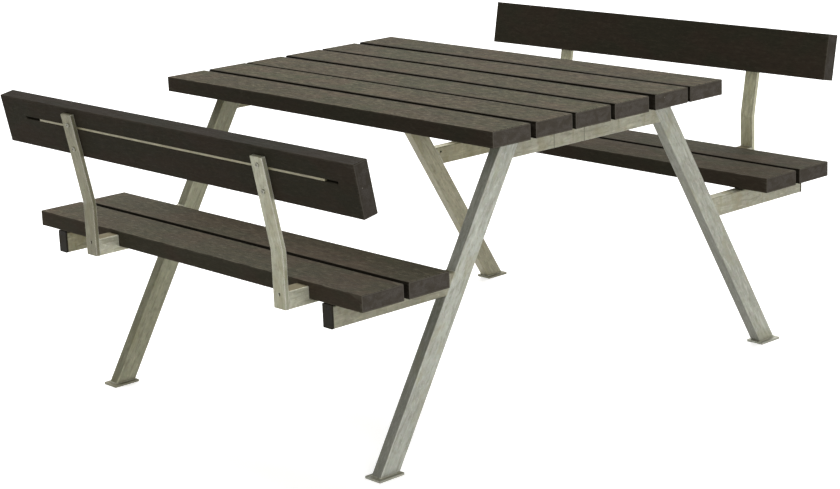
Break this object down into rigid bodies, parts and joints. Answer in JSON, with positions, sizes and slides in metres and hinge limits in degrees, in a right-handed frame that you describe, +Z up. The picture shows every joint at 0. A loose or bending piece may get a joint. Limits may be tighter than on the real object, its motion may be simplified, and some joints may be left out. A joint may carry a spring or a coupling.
{
  "type": "picnic table",
  "caption": "Rectangular picnic table of dark boards on two galvanised tube A-frames, with a plank bench and a leaning backrest on each long side.",
  "frame": {"origin": "the ground, under the middle of the whole object's bounding box; the table's own middle is at x = -0.040 m", "axes": "+X along the boards, +Y across the table from bench A to bench B, +Z up"},
  "size_m": [1.3636, 1.7914, 0.7712],
  "materials": {
    "board": "matt dark brown-grey composite board with a fine brushed wood-like grain",
    "galvanised_steel": "hot-dip galvanised, dull and mottled",
    "black_plastic": "matt black moulded plastic",
    "screw_steel": "dull zinc plating"
  },
  "bodies": {
    "root": {"top_board_1": "board", "top_board_2": "board", "top_board_3": "board", "top_board_4": "board", "top_board_5": "board", "top_board_6": "board", "seat_board_a_inner": "board", "seat_board_a_outer": "board", "seat_board_b_inner": "board", "seat_board_b_outer": "board", "back_board_a": "board", "back_board_b": "board", "back_strip_a": "galvanised_steel", "back_strip_b": "galvanised_steel", "leg_left_a": "galvanised_steel", "leg_left_b": "galvanised_steel", "leg_right_a": "galvanised_steel", "leg_right_b": "galvanised_steel", "beam_left_a": "galvanised_steel", "beam_left_mid": "galvanised_steel", "beam_left_b": "galvanised_steel", "beam_right_a": "galvanised_steel", "beam_right_mid": "galvanised_steel", "beam_right_b": "galvanised_steel", "top_strap_left": "galvanised_steel", "top_strap_right": "galvanised_steel", "seat_arm_left_a": "galvanised_steel", "seat_arm_left_b": "galvanised_steel", "seat_arm_right_a": "galvanised_steel", "seat_arm_right_b": "galvanised_steel", "seat_strap_left_a": "galvanised_steel", "seat_strap_left_b": "galvanised_steel", "seat_strap_right_a": "galvanised_steel", "seat_strap_right_b": "galvanised_steel", "end_cap_left_a": "black_plastic", "end_cap_left_b": "black_plastic", "end_cap_right_a": "black_plastic", "end_cap_right_b": "black_plastic", "foot_left_a": "galvanised_steel", "foot_left_b": "galvanised_steel", "foot_right_a": "galvanised_steel", "foot_right_b": "galvanised_steel", "back_upright_a_left": "galvanised_steel", "back_upright_a_right": "galvanised_steel", "back_upright_b_left": "galvanised_steel", "back_upright_b_right": "galvanised_steel", "back_bracket_a_left": "galvanised_steel", "back_bracket_a_right": "galvanised_steel", "back_bracket_b_left": "galvanised_steel", "back_bracket_b_right": "galvanised_steel", "top_screws_left": "screw_steel", "top_screws_right": "screw_steel", "seat_screws_a": "screw_steel", "seat_screws_b": "screw_steel", "bracket_screws_a": "screw_steel", "bracket_screws_b": "screw_steel", "back_screws_a": "screw_steel", "back_screws_b": "screw_steel"}
  },
  "joints": []
}
